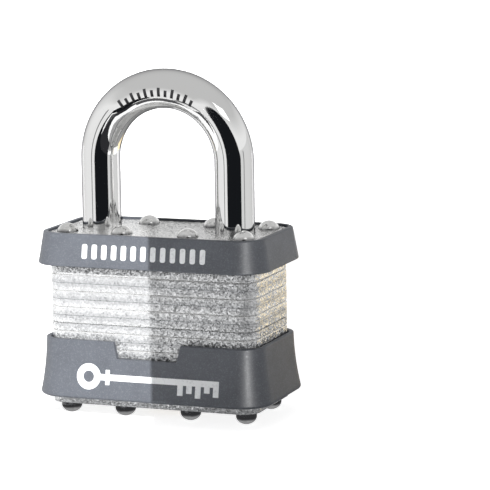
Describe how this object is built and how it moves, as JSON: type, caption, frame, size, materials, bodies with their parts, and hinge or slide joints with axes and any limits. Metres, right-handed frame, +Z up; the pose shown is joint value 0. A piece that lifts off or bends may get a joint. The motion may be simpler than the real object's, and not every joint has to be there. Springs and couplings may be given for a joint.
{
  "type": "laminated padlock",
  "caption": "Laminated steel padlock with a round lifting shackle, riveted plate body, moulded skirts at top and bottom, and a pin cylinder that draws back two sliding levers.",
  "frame": {"origin": "middle of the footprint, level with the tips of the lower rivet heads that it stands on", "axes": "+X along the width from the heel leg to the toe leg, +Y to the back, +Z up through the arch of the shackle"},
  "size_m": [0.0498, 0.0274, 0.0697],
  "materials": {
    "lamination_steel": "zinc-plated, lightly grained",
    "rivet_steel": "bright nickel plate",
    "skirt_plastic": "satin grey moulding with a fine grain",
    "shackle_chrome": "polished chrome plate",
    "lever_steel": "hardened, stamped",
    "plug_brass": "turned",
    "pin_brass": "turned",
    "driver_steel": "turned",
    "spring_steel": "drawn wire"
  },
  "bodies": {
    "case": {"bottom_plate": "lamination_steel", "cylinder_plate_01": "lamination_steel", "cylinder_plate_02": "lamination_steel", "cylinder_plate_03": "lamination_steel", "cylinder_plate_04": "lamination_steel", "cylinder_plate_05": "lamination_steel", "cylinder_plate_06": "lamination_steel", "cylinder_plate_07": "lamination_steel", "cylinder_plate_08": "lamination_steel", "cylinder_plate_09": "lamination_steel", "cylinder_plate_10": "lamination_steel", "cylinder_plate_11": "lamination_steel", "cylinder_plate_12": "lamination_steel", "divider_plate": "lamination_steel", "spacer_plate": "lamination_steel", "heel_lever_plate": "lamination_steel", "toe_lever_plate": "lamination_steel", "guide_plate_17": "lamination_steel", "guide_plate_18": "lamination_steel", "guide_plate_19": "lamination_steel", "top_plate": "lamination_steel", "rivets": "rivet_steel", "upper_skirt": "skirt_plastic", "lower_skirt": "skirt_plastic", "cylinder_shell": "plug_brass", "pin_cover": "plug_brass", "shackle_spring": "spring_steel", "lever_spring_heel": "spring_steel", "lever_spring_toe": "spring_steel", "pin_spring_a": "spring_steel", "pin_spring_b": "spring_steel", "pin_spring_c": "spring_steel", "pin_spring_d": "spring_steel"},
    "shackle": {"shackle": "shackle_chrome"},
    "plug": {"plug": "plug_brass", "cam": "lever_steel"},
    "heel_lever": {"lever_heel": "lever_steel"},
    "toe_lever": {"lever_toe": "lever_steel"},
    "key_pin_a": {"key_pin_a": "pin_brass"},
    "driver_pin_a": {"driver_pin_a": "driver_steel"},
    "key_pin_b": {"key_pin_b": "pin_brass"},
    "driver_pin_b": {"driver_pin_b": "driver_steel"},
    "key_pin_c": {"key_pin_c": "pin_brass"},
    "driver_pin_c": {"driver_pin_c": "driver_steel"},
    "key_pin_d": {"key_pin_d": "pin_brass"},
    "driver_pin_d": {"driver_pin_d": "driver_steel"}
  },
  "joints": [
    {"name": "shackle_lift", "type": "slide", "parent": "case", "child": "shackle", "axis": [0, 0, 1], "range_m": [0, 0.0126], "deforming": ["shackle_spring"]},
    {"name": "plug_turn", "type": "hinge", "parent": "case", "child": "plug", "pos_m": [0, 0, 0.00434], "axis": [0, 0, 1], "range_deg": [-90, 0]},
    {"name": "heel_lever_slide", "type": "slide", "parent": "case", "child": "heel_lever", "axis": [1, 0, 0], "range_m": [-0.0015, 0], "deforming": ["lever_spring_heel"]},
    {"name": "toe_lever_slide", "type": "slide", "parent": "case", "child": "toe_lever", "axis": [1, 0, 0], "range_m": [0, 0.0015], "deforming": ["lever_spring_toe"]},
    {"name": "driver_pin_a_slide", "type": "slide", "parent": "case", "child": "driver_pin_a", "axis": [1, 0, 0], "range_m": [0, 0.0016], "stiffness_N_per_m": 60, "springref_m": -0.002, "deforming": ["pin_spring_a"]},
    {"name": "key_pin_a_slide", "type": "slide", "parent": "plug", "child": "key_pin_a", "axis": [0, 1, 0], "range_m": [-0.00197, 0]},
    {"name": "driver_pin_b_slide", "type": "slide", "parent": "case", "child": "driver_pin_b", "axis": [1, 0, 0], "range_m": [0, 0.0016], "stiffness_N_per_m": 60, "springref_m": -0.002, "deforming": ["pin_spring_b"]},
    {"name": "key_pin_b_slide", "type": "slide", "parent": "plug", "child": "key_pin_b", "axis": [0, 1, 0], "range_m": [-0.00137, 0]},
    {"name": "driver_pin_c_slide", "type": "slide", "parent": "case", "child": "driver_pin_c", "axis": [1, 0, 0], "range_m": [0, 0.0016], "stiffness_N_per_m": 60, "springref_m": -0.002, "deforming": ["pin_spring_c"]},
    {"name": "key_pin_c_slide", "type": "slide", "parent": "plug", "child": "key_pin_c", "axis": [0, 1, 0], "range_m": [-0.00177, 0]},
    {"name": "driver_pin_d_slide", "type": "slide", "parent": "case", "child": "driver_pin_d", "axis": [1, 0, 0], "range_m": [0, 0.0016], "stiffness_N_per_m": 60, "springref_m": -0.002, "deforming": ["pin_spring_d"]},
    {"name": "key_pin_d_slide", "type": "slide", "parent": "plug", "child": "key_pin_d", "axis": [0, 1, 0], "range_m": [-0.00107, 0]}
  ],
  "couplings": [
    {"joint": "heel_lever_slide", "follows": "plug_turn", "m_per_rad": 0.000954},
    {"joint": "toe_lever_slide", "follows": "plug_turn", "m_per_rad": -0.000954}
  ]
}
